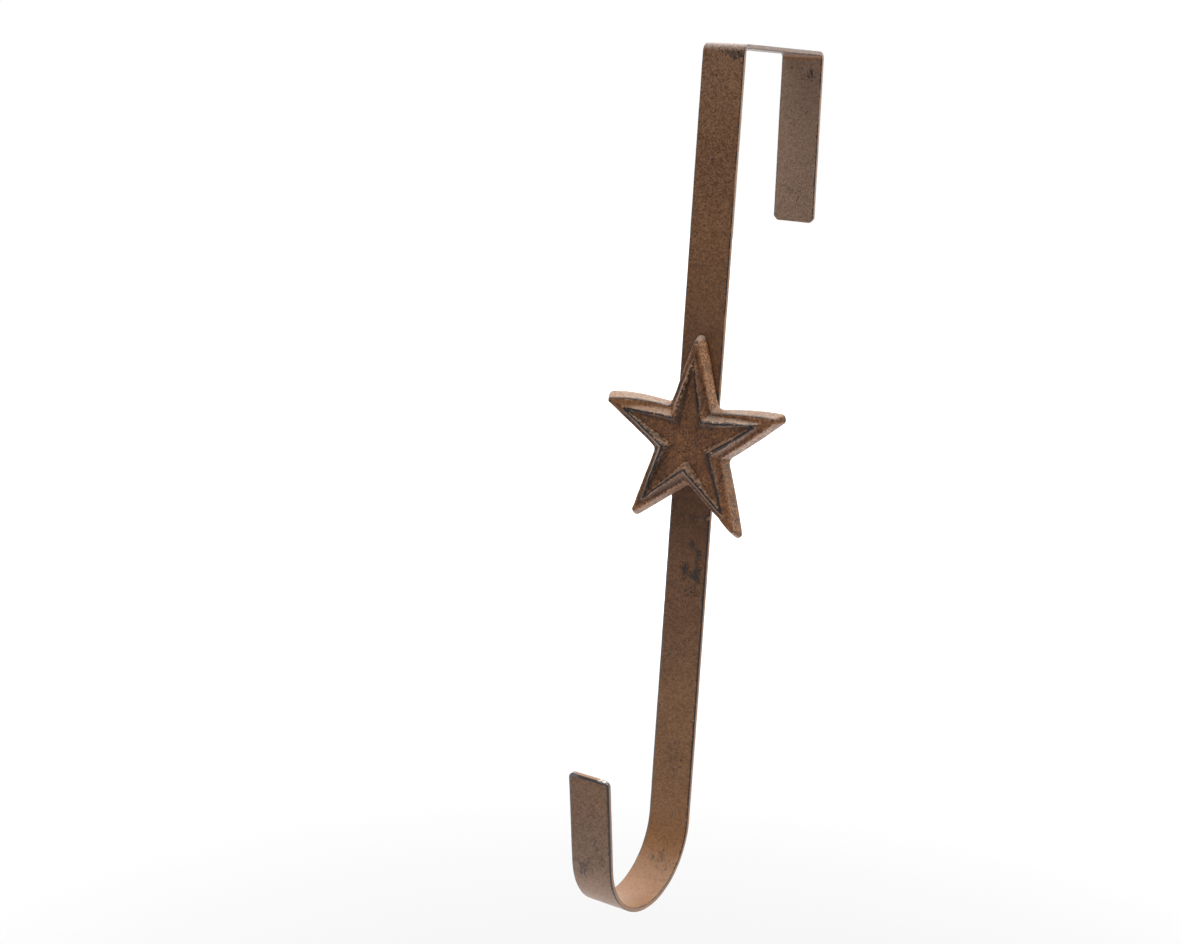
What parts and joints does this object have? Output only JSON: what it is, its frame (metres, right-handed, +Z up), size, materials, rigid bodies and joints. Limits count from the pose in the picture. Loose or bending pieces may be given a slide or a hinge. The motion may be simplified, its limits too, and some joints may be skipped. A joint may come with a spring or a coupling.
{
  "type": "wreath hanger",
  "caption": "Over-the-door wreath hanger: flat steel bar with a door saddle, a long front run carrying a cast star, and a rolled hook with a flared lip.",
  "frame": {"origin": "middle of the seat under the top run, where the hanger rests on the door's top edge", "axes": "+Z up, +X along the door's face, +Y from the room through the door; the hook and the star are on the -Y side"},
  "size_m": [0.0662, 0.1053, 0.275],
  "materials": {
    "bar_finish": "matte rust-brown paint on flat steel, darker and blue-grey where the edges have worn",
    "star_finish": "grainy sand casting in matte rust brown, with worn dark edges",
    "weld_finish": "rippled weld bead under the same brown paint"
  },
  "bodies": {
    "root": {"bar": "bar_finish", "star": "star_finish", "weld_left": "weld_finish", "weld_right": "weld_finish"}
  },
  "joints": []
}
